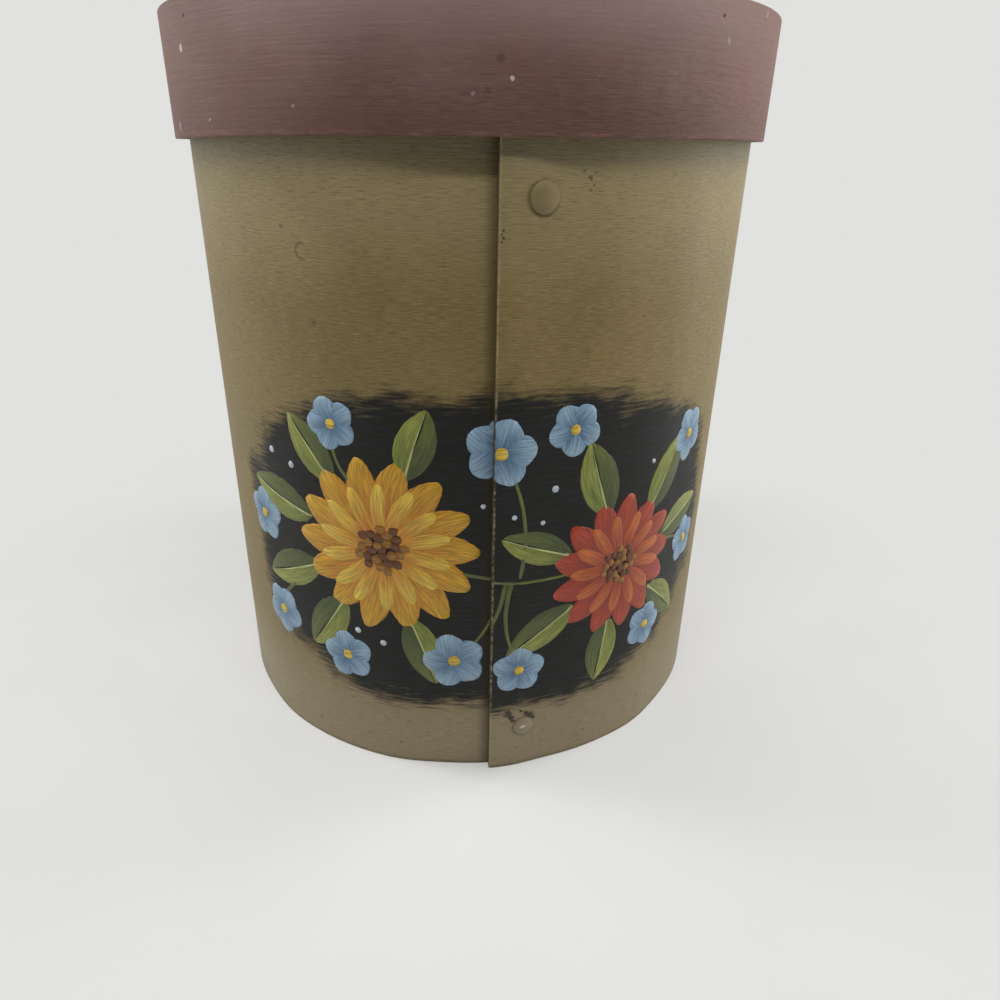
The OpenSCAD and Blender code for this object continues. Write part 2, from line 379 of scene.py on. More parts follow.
def smooth_step(low, high, value):
    """Eased share from 0 at low to 1 at high."""
    share = min(max((value - low) / (high - low), 0.0), 1.0)
    return share * share * (3 - 2 * share)


def spaced(low, high, gap):
    """Even steps from low to high, each about a gap long."""
    count = max(1, round((high - low) / gap))
    return [low + (high - low) * i / count for i in range(count + 1)]


def lines_near(low, high, gap, centres, reach, fine):
    """Lines from low to high, closer together near each centre."""
    lines = [v for v in spaced(low, high, gap) if all(abs(v - c) > reach for c in centres)]
    for centre in centres:
        lines += [v for v in spaced(centre - reach, centre + reach, fine) if low < v < high]
    lines = sorted(set(lines + [low, high]))
    return [lines[0]] + [b for a, b in zip(lines, lines[1:]) if b - a > fine / 3]


def skin(rings, count, closed=False, base=0):
    """Faces over rings of points: the two ends are capped, or joined where the skin is closed."""
    faces = []
    for i in range(rings if closed else rings - 1):
        here, there = base + i * count, base + (i + 1) % rings * count
        for j in range(count):
            k = (j + 1) % count
            faces.append((here + j, here + k, there + k, there + j))
    if not closed:
        for start in (base, base + (rings - 1) * count):
            faces.append(tuple(range(start, start + count)))
    return faces


def board_section(low, high, wall, ease, rows, beside):
    """Points (y, z) round a board's section, from the foot of its outer face."""
    section = [(0.0, z) for z in [low + ease] + rows + [high - ease]]
    corners = ((-ease, high - ease, 0), (-wall + ease, high - ease, 90),
               (-wall + ease, low + ease, 180), (-ease, low + ease, 270))
    for y, z, start in corners:
        angles = [math.radians(start + EASE_ANGLE * i) for i in range(EASE_STEPS)]
        points = [(y + ease * math.cos(a), z + ease * math.sin(a)) for a in angles]
        if start == 180:
            inner = spaced(low + beside, high - beside, INNER_GAP)
            section += [(-wall, z_in) for z_in in reversed(inner)]
        # The outer face already holds the first and the last point
        section += points[1 if start == 0 else 0:-1 if start == 270 else EASE_STEPS]
    return section


def board(name, long, low, high, wall, pits, pit_z, sag):
    """The flat board of a band: eased edges, a nibbled outer end, and a pit for each brad.

    pits are (x, depth). sag gives how far the lower edge hangs below its true line.
    """
    ease = settings()[0].ease
    beside, end_long = ease + 0.2 * MM, 2.4 * MM
    rows = lines_near(low + beside, high - beside, ROW_GAP, [pit_z], PIT_REACH, PIT_FINE)
    section = board_section(low, high, wall, ease, rows, beside)
    stations = [v * MM for v in (0.0, 0.06, 0.14, 0.26, 0.4, 0.55, 0.9, 1.5, 2.4)]
    stations += lines_near(3.4 * MM, long, ALONG_GAP, [x for x, depth in pits], PIT_REACH, PIT_FINE)
    verts = []
    for x in stations:
        short = ease - math.sqrt(max(0.0, ease ** 2 - max(0.0, ease - x) ** 2))
        near_end = max(0.0, 1 - x / end_long)
        here = [(c, depth) for c, depth in pits if abs(c - x) < PIT_REACH]
        lift = EDGE_LIFT * abs(noise.noise((x / LIFT_LONG, 0.0, high * 50)))
        hang = sag(x)
        for y, z in section:
            nib = sum(deep * noise.noise((z / size, seed, 0.0)) for deep, size, seed in BITES)
            out = max(min(y, -short), -wall + short)
            up = max(min(z, high - short), low + short)
            edge = 1 - smooth_step(0.0, LIFT_WIDE, min(z - low, high - z))
            edge = -edge if high - z < z - low else edge
            if y == 0.0:
                for c, depth in here:
                    reach = math.hypot(x - c, z - pit_z)
                    out -= depth * (1 - smooth_step(PIT_FLOOR, PIT_RIM, reach))
            up += lift * edge - hang * ((high - z) / (high - low)) ** 2
            verts.append((x + max(0.0, nib + 0.1 * MM) * near_end, out, up))
    within = [y < -wall + 0.01 * MM for y, z in section]
    inside = [a and b for a, b in zip(within, within[1:] + within[:1])] * (len(stations) - 1)
    inside += [False, True]
    obj = new_object(name, verts, skin(len(stations), len(section)))
    obj.data.attributes.new("inside", "BOOLEAN", "FACE").data.foreach_set("value", inside)
    return obj


def lathe(name, profile, sides, upright=False, closed=False, narrow=1.0):
    """Turns a profile of (radius, height) round Y, or round Z where it is upright.

    narrow takes off along the board what bending it outside its own radius adds.
    The distance from the axis is kept as "reach".
    """
    verts, reach = [], []
    for radius, height in profile:
        for i in range(sides):
            a = TURN * i / sides
            x, y = radius * math.cos(a), radius * math.sin(a)
            verts.append((x, y, height) if upright else (x * narrow, height, y))
            reach.append(radius)
    obj = new_object(name, verts, skin(len(profile), sides, closed))
    obj.data.attributes.new("reach", "FLOAT", "POINT").data.foreach_set("value", reach)
    return obj


def middle_z(node):
    """Height of a CAD node's middle."""
    low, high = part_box(node)
    return (low.z + high.z) / 2


def lid_along(angle):
    """Place along the lid's flat board, in metres, of an angle from the front."""
    return (angle - settings()[0].lid_seam) % TURN * LID_RADIUS


def lid_sag(x):
    """How far the lid's rim hangs low: a little all round, and more on the left."""
    away = abs(x - lid_along(math.radians(SAG_ANGLE)))
    return (SAG + MORE_SAG * (1 - smooth_step(30 * MM, 130 * MM, away))) * MM


def rivet_along():
    """Place along the body's flat board, in millimetres, of its rivets."""
    return settings()[0].rivet_inset * TO_MM * BODY_RADIUS / (BODY_RADIUS + BODY_STEP)


def finish(name):
    """A new material: returns it, its tree and its shader's inputs."""
    material = bpy.data.materials.new(name)
    material.use_nodes = True
    tree = material.node_tree
    tree.nodes.clear()
    shader = add(tree, "ShaderNodeBsdfPrincipled", out=None)
    add(tree, "ShaderNodeOutputMaterial", {"Surface": shader.outputs[0]}, out=None)
    return material, tree, shader.inputs


def surface(tree, shader, base, rough, height=None, depth=0.0):
    """Links a finish's colour, its roughness and, where it has one, its relief of a depth in metres.

    rough is a socket, or (value, from, to, roughness there, roughness there).
    """
    if isinstance(rough, tuple):
        rough = add(tree, RANGE, *rough)
    tree.links.new(base, shader["Base Color"])
    tree.links.new(rough, shader["Roughness"])
    if height:
        bump = add(tree, "ShaderNodeBump", {"Height": height, "Distance": depth})
        tree.links.new(bump, shader["Normal"])


def coats(tree, paint, *layers):
    """Lays coats over a paint, each (share, colour).

    A share is a socket, a number, or (value, from, to, share there, share there)
    for one that follows a value smoothly. A colour is a hex value or linear.
    """
    for share, tone in layers:
        if isinstance(share, tuple):
            share = add(tree, SMOOTH, *share)
        tone = linear(tone) if isinstance(tone, str) else tone
        paint = add(tree, MIX, {0: share, 6: paint, 7: tone}, out=2)
    return paint


def place_mm(tree, on_band):
    """Place in millimetres, on the flat board that a band was bent from or in the piece itself."""
    if on_band:
        place = add(tree, ATTRIBUTE, out="Vector", attribute_name="board")
    else:
        place = add(tree, "ShaderNodeTexCoord", out="Object")
    return add(tree, V_SCALE, {0: place, "Scale": TO_MM})


def board_place(tree, radius):
    """Place on the flat board in millimetres, then its X, signed from the seam, and its Z."""
    place = place_mm(tree, True)
    part = add(tree, "ShaderNodeSeparateXYZ", place, out=None).outputs
    girth = TURN * radius * TO_MM
    far = add(tree, ABOVE, part["X"], girth / 2)
    return place, add(tree, TIMES_PLUS, far, -girth, part["X"]), part["Z"]


def grain_of(tree, place, long, fine, detail=3.0, shift=0.0):
    """Streaks that run along the board, each about long by fine millimetres."""
    laid = add(tree, MAPPING, {"Vector": place, "Location": (shift, 0.0, shift),
                               "Scale": (1 / long, 1 / fine, 1 / fine)})
    return add(tree, NOISE, {"Vector": laid, "Scale": 1.0, "Detail": detail, "Roughness": 0.6,
                             "Distortion": 0.15})


def spots(tree, place, points, soft, ragged):
    """Mask of ragged spots on the flat board, each (x, z, radius) in millimetres."""
    shake = add(tree, NOISE, {"Vector": place, "Scale": 0.8, "Detail": 1.0}, out="Color")
    shake = add(tree, V_MINUS, shake, (0.5, 0.5, 0.5))
    flat = add(tree, V_TIMES, place, (1.0, 0.0, 1.0))
    shaken = add(tree, V_TIMES_PLUS, shake, (ragged, 0.0, ragged), flat)
    total = 0.0
    for x, z, radius in points:
        away = add(tree, VECTOR, shaken, (x, 0.0, z), out="Value", operation="DISTANCE")
        spot = add(tree, SMOOTH, away, radius * (1 - soft), radius * (1 + soft), 1.0, 0.0)
        total = add(tree, LARGER, spot, total)
    return total


def marks(tree, paint, place, kinds):
    """Lays spots over a paint, each kind (points, softness, raggedness, share, colour)."""
    for points, soft, ragged, most, code in kinds:
        share = add(tree, TIMES, spots(tree, place, points, soft, ragged), most)
        paint = coats(tree, paint, (share, code))
    return paint


def flower_ground(tree, place, along, up):
    """Share and colour of the dark ground behind the flowers, a rounded block with a dry-brushed edge."""
    edge = 0.0
    for value, centre, half in ((along, 2.0, 86.0), (up, 76.0, 51.0)):
        value = add(tree, TIMES_PLUS, value, 1 / half, -centre / half)
        value = add(tree, SIZE_OF, value)
        value = add(tree, MATH, value, 2.6, operation="POWER")
        edge = add(tree, PLUS, value, edge)
    dry = grain_of(tree, place, 9, 0.9, 4.0, 7.0)
    blotch = add(tree, NOISE, {"Vector": place, "Scale": 1 / 17, "Detail": 4.0})
    for rough in (dry, blotch):
        edge = add(tree, TIMES_PLUS, rough, 0.8, edge)
    dark = coats(tree, settings()[1].ground, ((dry, 0.4, 0.75), "#1d2227"))
    return add(tree, SMOOTH, edge, 1.62, 2.02, 0.97, 0.0), dark


def lap_wear(tree, along, nick):
    """Shares at the lap's end: rubbed specks of wear, then painted shade on the cut end and beside the
    step.
    """
    front = add(tree, ABOVE, along, 0.0)
    behind = add(tree, BELOW, along, 0.0)
    worn = add(tree, SMOOTH, along, 0.4, 0.95, 1.0, 0.0)
    specks = add(tree, SMOOTH, nick, 0.42, 0.62, 0.1, 0.75)
    for share in (specks, front):
        worn = add(tree, TIMES, worn, share)
    # Painted shade on the lap's cut end
    cut_shade = add(tree, SMOOTH, along, 0.05, 0.3, 0.75, 0.0)
    cut_shade = add(tree, TIMES, cut_shade, front)
    # Painted shade beside the lap's step, where its shadow falls
    step_shade = add(tree, SMOOTH, along, -4.0, -0.2, 0.0, 0.48)
    return worn, add(tree, TIMES_PLUS, step_shade, behind, cut_shade)


def khaki_tones(tree, paint, along, up):
    """Painted light towards the top and sides, a paler lap, and the lid's shadow painted below its rim."""
    far = add(tree, SIZE_OF, along)
    side = add(tree, SMOOTH, far, 25.0, 85.0)
    # Painted light: the paint is paler and bluer towards the top, and more so towards the sides
    high = coats(tree, (1.25, 1.31, 1.54, 1.0), (side, (1.35, 1.45, 1.8, 1.0)))
    painted_light = coats(tree, (0.99, 0.97, 0.88, 1.0), (side, (1.04, 1.07, 1.08, 1.0)),
                  ((up, 146.0, 178.0), high))
    paint = add(tree, V_TIMES, paint, painted_light)
    most = add(tree, SMOOTH, up, 15.0, 60.0, 0.9, 1.1)
    most = add(tree, SMOOTH, far, 130.0, 230.0, most, 1.0)
    paler = add(tree, SMOOTH, along, -6.0, 14.0, 1.0, most)
    paint = add(tree, V_SCALE, {0: paint, "Scale": paler})
    # Painted shadow of the lid, cooler and darker just below its rim; under the lid the paint is plain
    # again
    kept = coats(tree, (0.76, 0.82, 0.98, 1.0), ((up, 187.5, 191.0), (0.8, 0.77, 0.64, 1.0)))
    kept = coats(tree, WHITE, ((up, 179.0, 188.0), kept))
    return add(tree, V_TIMES, paint, kept)


def khaki_marks(tree, paint, along, up):
    """Rivet rings of dirt and painted shade, smudges, specks, clots, and a faint ring stain open on one
    side.
    """
    # Dark rings round the rivets, set to their lower left: dirt and painted shade
    rivets = [(rivet_along() - 0.3, middle_z(node) * TO_MM - 0.4, radius)
              for node, radius in (("upper_seam_rivet", 4.2), ("lower_seam_rivet", 3.5))]
    smudges = ((-48.7, 144.5, 0.5), (-56.8, 168.0, 0.45), (22.6, 180.7, 0.45), (23.5, 179.0, 0.35),
               (22.8, 177.9, 0.3), (20.9, 182.1, 0.3), (23.9, 181.8, 0.3))
    specks = ((0.95, 166.5, 0.24), (1.35, 167.4, 0.33), (1.0, 168.2, 0.26), (1.3, 169.1, 0.3))
    clots = ((6.0, 22.0, 1.3), (6.8, 20.6, 1.1), (7.6, 19.2, 0.7), (12.2, 20.9, 1.0), (13.5, 20.2, 1.2),
             (14.5, 18.9, 0.8), (10.2, 22.3, 0.6))
    signed = add(tree, "ShaderNodeCombineXYZ", {0: along, 2: up})
    paint = marks(tree, paint, signed,
                  ((rivets, 0.1, 0.3, 0.3, "#3d3423"), (smudges, 0.5, 1.8, 0.6, "#3d3424"),
                   (specks, 0.3, 0.5, 0.85, "#2d291f"), (clots, 0.45, 2.0, 0.85, "#2b2723")))
    away = add(tree, VECTOR, signed, (-50.6, 0.0, 162.6), out="Value", operation="DISTANCE")
    away = add(tree, MINUS, away, 2.0)
    away = add(tree, SIZE_OF, away)
    ring = add(tree, SMOOTH, away, 0.1, 0.6, 0.5, 0.0)
    open_side = add(tree, SMOOTH, along, -50.8, -49.2, 1.0, 0.15)
    ring = add(tree, TIMES, ring, open_side)
    return coats(tree, paint, (ring, "#453e2c"))


def khaki_paint():
    """Brushed flat paint on bent wood."""
    # Short streaks follow the grain, dust and painted floor light grey and pale the foot,
    # painted shade lies by the lap's step, and dirt with painted shade round the rivets
    tints = settings()[1]
    material, tree, shader = finish("khaki_flat_paint_on_bent_wood")
    place, along, up = board_place(tree, BODY_RADIUS)
    grain = grain_of(tree, place, 11, 0.45)
    fine = grain_of(tree, place, 3.3, 0.22, 3.0, 31.0)
    clouds = add(tree, NOISE, {"Vector": place, "Scale": 1 / 33, "Detail": 3.0})
    share = add(tree, TIMES_PLUS, grain, 0.75, clouds)
    paint = coats(tree, tints.khaki_deep, ((share, 0.62, 1.12), tints.khaki))
    paint = khaki_tones(tree, paint, along, up)
    # Dust with painted floor light at the foot, light and dark grain, then the ground,
    # the lap's end with painted shade beside its step, and a dirty lower edge
    nick = grain_of(tree, place, 2.0, 1.6, 2.0, 3.0)
    # Wear at the lap's end, and the painted shade of its step
    worn, step_shade = lap_wear(tree, along, nick)
    foot = add(tree, SMOOTH, up, 0.4, 2.0, 0.8, 0.0)
    foot = add(tree, TIMES, foot, nick)
    # First coat: dust and painted floor light, paler towards the foot
    paint = coats(tree, paint, ((up, 12.0, 46.0, 0.8, 0.0), "#a2957b"),
                  ((fine, 0.5, 0.74, 0.0, 0.62), "#ac9a6f"), ((fine, 0.3, 0.5, 0.55, 0.0), "#5c4f30"),
                  flower_ground(tree, place, along, up),
                  (worn, "#ad9d76"), (step_shade, "#3f3520"), (foot, "#4a412d"))
    paint = khaki_marks(tree, paint, along, up)
    shader["Specular IOR Level"].default_value = 0.25
    height = add(tree, TIMES_PLUS, fine, 0.6, grain)
    surface(tree, shader, paint, (clouds, 0.3, 0.7, 0.46, 0.6), height, 0.16 * MM)
    return material


def lid_tones(tree, paint, along, up):
    """Tones of the lid's band and how strong its streaks are.

    It has painted shade low on the rim and painted light at the top, both strongest towards the front,
    is warm on the right, and its left is smooth.
    """
    front = (lid_along(0.0) - TURN * LID_RADIUS) * TO_MM
    aside = add(tree, MINUS, along, front)
    aside = add(tree, SIZE_OF, aside)
    # Painted shade low on the rim and painted light at the top, strongest towards the front
    deep = add(tree, SMOOTH, aside, 40.0, 113.0, 0.75, 0.38)
    painted_top_light = add(tree, SMOOTH, aside, 30.0, 95.0, 0.75, 0.15)
    paint = coats(tree, paint, ((up, 190.0, 207.0, deep, 0.0), "#654a41"),
                  ((up, 203.0, 219.0, 0.0, painted_top_light), "#a68e8a"))
    paler = add(tree, SMOOTH, aside, 80.0, 113.0, 1.06, 0.93)
    paler = add(tree, SMOOTH, aside, 20.0, 60.0, 1.0, paler)
    paint = add(tree, V_SCALE, {0: paint, "Scale": paler})
    right = add(tree, PLUS, along, 30.0)
    right = add(tree, SIZE_OF, right)
    warm = coats(tree, WHITE, ((right, 40.0, 100.0, 1.0, 0.0), (1.02, 0.92, 0.88, 1.0)))
    paint = add(tree, V_TIMES, paint, warm)
    strength = add(tree, SMOOTH, up, 194.0, 213.0, 0.2, 0.06)
    calm = add(tree, SMOOTH, along, front - 60.0, front - 15.0, 0.45, 1.0)
    return paint, add(tree, TIMES, strength, calm)


def lid_wear(tree, paint, place, up):
    """Stains, scuffs and chips on the lid's band, by degrees from the front, and a paler broken line along
    its rim.
    """
    stains = ((-0.2, 204.6, 1.0), (-1.8, 198.5, 0.6), (7.6, 197.6, 0.6), (-112.0, 206.0, 1.2))
    scuffs = ((38.0, 210.9, 0.75), (-30.3, 195.1, 0.45), (-63.7, 191.4, 1.2), (50.5, 218.4, 0.8),
              (-3.9, 197.7, 0.3))
    chips = ((-57.0, 209.0, 0.95), (1.4, 200.7, 0.5), (-49.6, 192.6, 0.3), (106.0, 203.0, 0.4),
             (160.0, 197.0, 0.5), (-140.0, 212.0, 0.4))
    for points, *look in ((stains, 0.5, 1.1, 0.35, "#46322c"), (scuffs, 0.4, 1.3, 0.5, "#b9a7a2"),
                          (chips, 0.2, 0.8, 0.95, "#d2c4b6")):
        points = [(lid_along(math.radians(angle)) * TO_MM, z, radius) for angle, z, radius in points]
        paint = marks(tree, paint, place, [(points, *look)])
    # A paler reddish broken line along the rim's lower edge
    rim = add(tree, SMOOTH, up, 190.0, 190.9, 0.5, 0.0)
    pale_rim_line = grain_of(tree, place, 5.0, 1.4, 3.0, 5.0)
    pale_rim_line = add(tree, SMOOTH, pale_rim_line, 0.45, 0.7)
    pale_rim_line = add(tree, TIMES, pale_rim_line, rim)
    return coats(tree, paint, (pale_rim_line, "#93695c"))


def maroon_paint(name, on_band):
    """Brushed flat paint on the lid's band, or on its flat board."""
    # Smoother than the body's, with painted shade at the low rim and painted light at the band's top, and
    # chips down to pale wood
    tints = settings()[1]
    material, tree, shader = finish(name)
    place, along, up = board_place(tree, LID_RADIUS) if on_band else (place_mm(tree, False), None, None)
    grain = grain_of(tree, place, 24, 1.0)
    fine = grain_of(tree, place, 4.2, 0.3, 3.0, 17.0)
    clouds = add(tree, NOISE, {"Vector": place, "Scale": 1 / 26, "Detail": 3.0})
    blush = add(tree, NOISE, {"Vector": place, "Scale": 1 / 19, "Detail": 2.0})
    specks = add(tree, NOISE, {"Vector": place, "Scale": 0.9, "Detail": 2.0})
    share = add(tree, TIMES_PLUS, grain, 0.6, clouds)
    paint = coats(tree, tints.maroon_deep, ((share, 0.55, 1.05), tints.maroon),
                  ((blush, 0.48, 0.68, 0.0, 0.3 if on_band else 0.15), "#8a5f55"),
                  ((specks, 0.71, 0.76, 0.0, 0.4), "#b9a49c"))
    if on_band:
        paint, strength = lid_tones(tree, paint, along, up)
    else:
        # The board's top is paled to go with the painted light at the top of the lid's band
        paint, strength = coats(tree, paint, (0.45, "#a3867f")), 0.12
    streak = add(tree, SMOOTH, fine, 0.3, 0.72, -1.0, 1.0)
    streak = add(tree, TIMES_PLUS, streak, strength, 1.0)
    paint = add(tree, V_SCALE, {0: paint, "Scale": streak})
    if on_band:
        paint = lid_wear(tree, paint, place, up)
    shader["Specular IOR Level"].default_value = 0.2
    height = add(tree, TIMES_PLUS, fine, 0.5, grain)
    surface(tree, shader, paint, (clouds, 0.3, 0.7, 0.5, 0.62), height, 0.1 * MM)
    return material


def bare_wood(name, on_band):
    """Unfinished pale hardwood, along a bent band or straight across a flat board."""
    # Darker late rings and long open pores, dry and nearly matt
    tints = settings()[1]
    material, tree, shader = finish(name)
    place = place_mm(tree, on_band)
    rings = grain_of(tree, place, 240, 5.0, 2.0)
    pores = grain_of(tree, place, 9, 0.3, 2.0, 11.0)
    bands = add(tree, TIMES, rings, 7.0)
    bands = add(tree, MATH, bands, 1.0, operation="PINGPONG")
    wood = coats(tree, tints.wood, ((bands, 0.2, 1.0, 0.1, 0.6), tints.wood_deep),
                 ((pores, 0.54, 0.72, 0.0, 0.4), "#7d5f3a"))
    surface(tree, shader, wood, (rings, 0.3, 0.7, 0.62, 0.75), pores, 0.12 * MM)
    return material


def painted_steel(name, paint, deep):
    """Steel rivet caps painted with the wood."""
    # Smoother than on wood, with painted shade at the rim; the low cap is satin, with a painted glint
    material, tree, shader = finish(name)
    place, _, up = board_place(tree, BODY_RADIUS)
    reach = add(tree, ATTRIBUTE, out="Fac", attribute_name="reach")
    cloud = add(tree, NOISE, {"Vector": place, "Scale": 0.4, "Detail": 2.0})
    fine = add(tree, NOISE, {"Vector": place, "Scale": 2.6, "Detail": 2.0})
    dust = add(tree, RANGE, up, 40.0, 60.0, 0.8, 0.0)
    low_z = middle_z("lower_seam_rivet") * TO_MM
    # The low cap's painted glint, a row of small pale spots
    painted_glint = [(rivet_along() - 0.9 + 0.3 * i, low_z + 0.5 + 0.12 * i, 0.4) for i in range(4)]
    # Painted shade darkens each cap towards its rim
    coat = coats(tree, paint, ((cloud, 0.35, 0.65, 0.1, 0.6), deep),
                 ((reach, 3.4 * MM, 3.9 * MM, 0.0, 0.3), "#4b4330"), (dust, "#978a70"),
                 (spots(tree, place, painted_glint, 0.8, 0.4), "#cdc5b4"))
    rough = add(tree, RANGE, up, 40.0, 60.0, 0.28, 0.46)
    rough = add(tree, TIMES_PLUS, cloud, 0.1, rough)
    shader["Specular IOR Level"].default_value = 0.35
    surface(tree, shader, coat, rough, fine, 0.05 * MM)
    return material


def plated_steel():
    """Zinc-plated steel."""
    # Grey, faintly mottled by the plating, with a soft shine
    material, tree, shader = finish("zinc_plated_steel")
    flat = add(tree, "ShaderNodeTexCoord", out="Object")
    mottle = add(tree, NOISE, {"Vector": flat, "Scale": 1 / (1.6 * MM), "Detail": 3.0})
    steel = coats(tree, settings()[1].steel, ((mottle, 0.3, 0.7), "#77756f"))
    shader["Metallic"].default_value = 1.0
    surface(tree, shader, steel, (mottle, 0.3, 0.7, 0.3, 0.45))
    return material


def coated_brad(name, paint):
    """Steel brad heads under the wood's paint."""
    # Dull, and rust shows through in specks
    material, tree, shader = finish(name)
    flat = add(tree, "ShaderNodeTexCoord", out="Object")
    rust = add(tree, NOISE, {"Vector": flat, "Scale": 1 / (0.7 * MM), "Detail": 3.0})
    coat = coats(tree, paint, ((rust, 0.45, 0.65, 0.1, 0.8), "#4c3c2d"))
    surface(tree, shader, coat, (rust, 0.4, 0.7, 0.45, 0.7), rust, 0.05 * MM)
    return material


def brush_paint():
    """Artists' acrylic laid in single strokes."""
    # Bristle lines along each stroke and a low satin shine
    material, tree, shader = finish("acrylic_brush_strokes")
    paint = add(tree, ATTRIBUTE, out="Color", attribute_name="paint")
    stroke = add(tree, ATTRIBUTE, out="Vector", attribute_name="stroke")
    laid = add(tree, MAPPING, {"Vector": stroke, "Scale": (0.16, 2.4, 1.0)})
    bristle = add(tree, NOISE, {"Vector": laid, "Scale": 1.0, "Detail": 3.0})
    share = add(tree, SMOOTH, bristle, 0.35, 0.68, 0.66, 1.18)
    coat = add(tree, V_SCALE, {0: paint, "Scale": share})
    surface(tree, shader, coat, (bristle, 0.3, 0.7, 0.36, 0.5), bristle, 0.12 * MM)
    return material


def backdrop_paper():
    """Matt white paper sweep, see-through from behind so that other views aren't shut out."""
    # Even, with hardly any tooth; it glows a little for the eye and for reflections, and keeps shadows
    material, tree, shader = finish("matt_paper_sweep")
    flat = add(tree, "ShaderNodeTexCoord", out="Object")
    tooth = add(tree, NOISE, {"Vector": flat, "Scale": 1 / (60 * MM), "Detail": 2.0})
    share = add(tree, RANGE, tooth, 0.3, 0.7)
    paper = coats(tree, settings()[2].sheet, (share, "#e1e1df"))
    tree.links.new(paper, shader["Base Color"])
    shader["Roughness"].default_value = 0.9
    shader["Specular IOR Level"].default_value = 0.2
    path = add(tree, "ShaderNodeLightPath", out=None).outputs
    seen = path["Is Camera Ray"]
    for ray in ("Is Glossy Ray", "Is Transmission Ray"):
        seen = add(tree, LARGER, seen, path[ray])
    glow = add(tree, TIMES, seen, 0.06)
    tree.links.new(glow, shader["Emission Strength"])
    shader["Emission Color"].default_value = WHITE
    plan = add(tree, V_TIMES, flat, (1.0, 1.0, 0.0))
    away = add(tree, VECTOR, plan, out="Value", operation="LENGTH")
    far = add(tree, SMOOTH, away, 0.1, 0.3, 0.3, 1.0)
    far = add(tree, TIMES, far, seen)
    even = add(tree, "ShaderNodeEmission", {"Color": linear("#e1e1df"), "Strength": 1.0})
    plain = shader["Base Color"].node.outputs[0]
    result = plain.links[0].to_socket
    sheet = add(tree, "ShaderNodeMixShader", far, plain, even)
    behind = add(tree, "ShaderNodeNewGeometry", out="Backfacing")
    clear = add(tree, "ShaderNodeBsdfTransparent")
    tree.links.new(add(tree, "ShaderNodeMixShader", behind, sheet, clear), result)
    return material


# Places across a brush stroke, from one side to the other
ACROSS = (-1.0, -0.85, -0.45, 0.0, 0.45, 0.85, 1.0)


def brush(spray, path, widths, lift, crown, tints):
    """Adds a closed brush stroke along a path of (x, z) millimetres, x signed from the seam.

    tints are the colours at its start, its end and its two sides. A stroke that
    crosses the seam is laid on both layers, and the upper one stops at the edge.
    """
    number = spray["count"]
    spray["count"] += 1
    points, paints, bristles = [], [], []
    run, last = 0.0, len(path) - 1
    for i, (x, z) in enumerate(path):
        s = i / last
        before, after = Vector(path[max(i - 1, 0)]), Vector(path[min(i + 1, last)])
        ahead = (after - before).normalized()
        run += (Vector(path[i]) - before).length
        for v in ACROSS:
            half = widths[i] / 2 * v
            rise = lift * (1 - abs(v) ** 6) * (1 - abs(2 * s - 1) ** 10)
            rise += crown * (1 - v * v) * math.sqrt(max(0.0, 4 * s * (1 - s)))
            points.append((x - ahead.y * half, rise - STROKE_SUNK, z + ahead.x * half))
            streak = noise.noise((v * 2.5, run * 0.05, number * 3.7)) * 0.35
            side = min(1.0, max(0.0, abs(v) ** 2 * 0.8 + streak))
            along = min(1.0, max(0.0, s + streak))
            tone = [a + (b - a) * along for a, b in zip(tints[0], tints[1])]
            paints.append([a + (b - a) * side * 0.7 for a, b in zip(tone, tints[2])])
            bristles.append((run, half, number * 5.0))
    girth = TURN * BODY_RADIUS / MM
    copies = []
    if min(p[0] for p in points) < 0:
        copies.append([(x + girth, y, z) for x, y, z in points])
    if max(p[0] for p in points) > STROKE_STOP + 0.05:
        copies.append([(max(x, STROKE_STOP), y, z) for x, y, z in points])
    for placed in copies:
        spray["faces"] += skin(len(path), len(ACROSS), base=len(spray["verts"]))
        spray["verts"] += [(x * MM, y * MM, z * MM) for x, y, z in placed]
        spray["paint"] += paints
        spray["stroke"] += bristles


def bowed(start, end, bow, count):
    """Points from start to end on a curve that bows out sideways by bow millimetres."""
    a, b = Vector(start), Vector(end)
    side = Vector((a.y - b.y, b.x - a.x)).normalized() * bow * 2
    peak = (a + b) / 2 + side
    shares = [i / (count - 1) for i in range(count)]
    return [tuple(a * (1 - s) ** 2 + peak * 2 * s * (1 - s) + b * s * s) for s in shares]


def petal(spray, x, z, angle, start, reach, width, lift, tints):
    """One petal from the flower's heart outwards, widest beyond its middle."""
    out = Vector((math.cos(angle), math.sin(angle)))
    path = bowed(Vector((x, z)) + out * start, Vector((x, z)) + out * reach, 0.04 * reach, 11)
    shares = [min(0.97, (0.1 + 0.87 * i / 10) ** 1.25) for i in range(11)]
    brush(spray, path, [width * math.sin(math.pi * s) ** 0.75 for s in shares], lift, 0.16, tints)


def dab(spray, x, z, size, lift, tints):
    """A round touch of the brush."""
    across = [2 * i / 6 - 1 for i in range(7)]
    widths = [size * math.sqrt(max(0.004, 1 - v ** 2)) for v in across]
    brush(spray, [(x + size * 0.5 * v, z) for v in across], widths, lift, 0.2, tints)


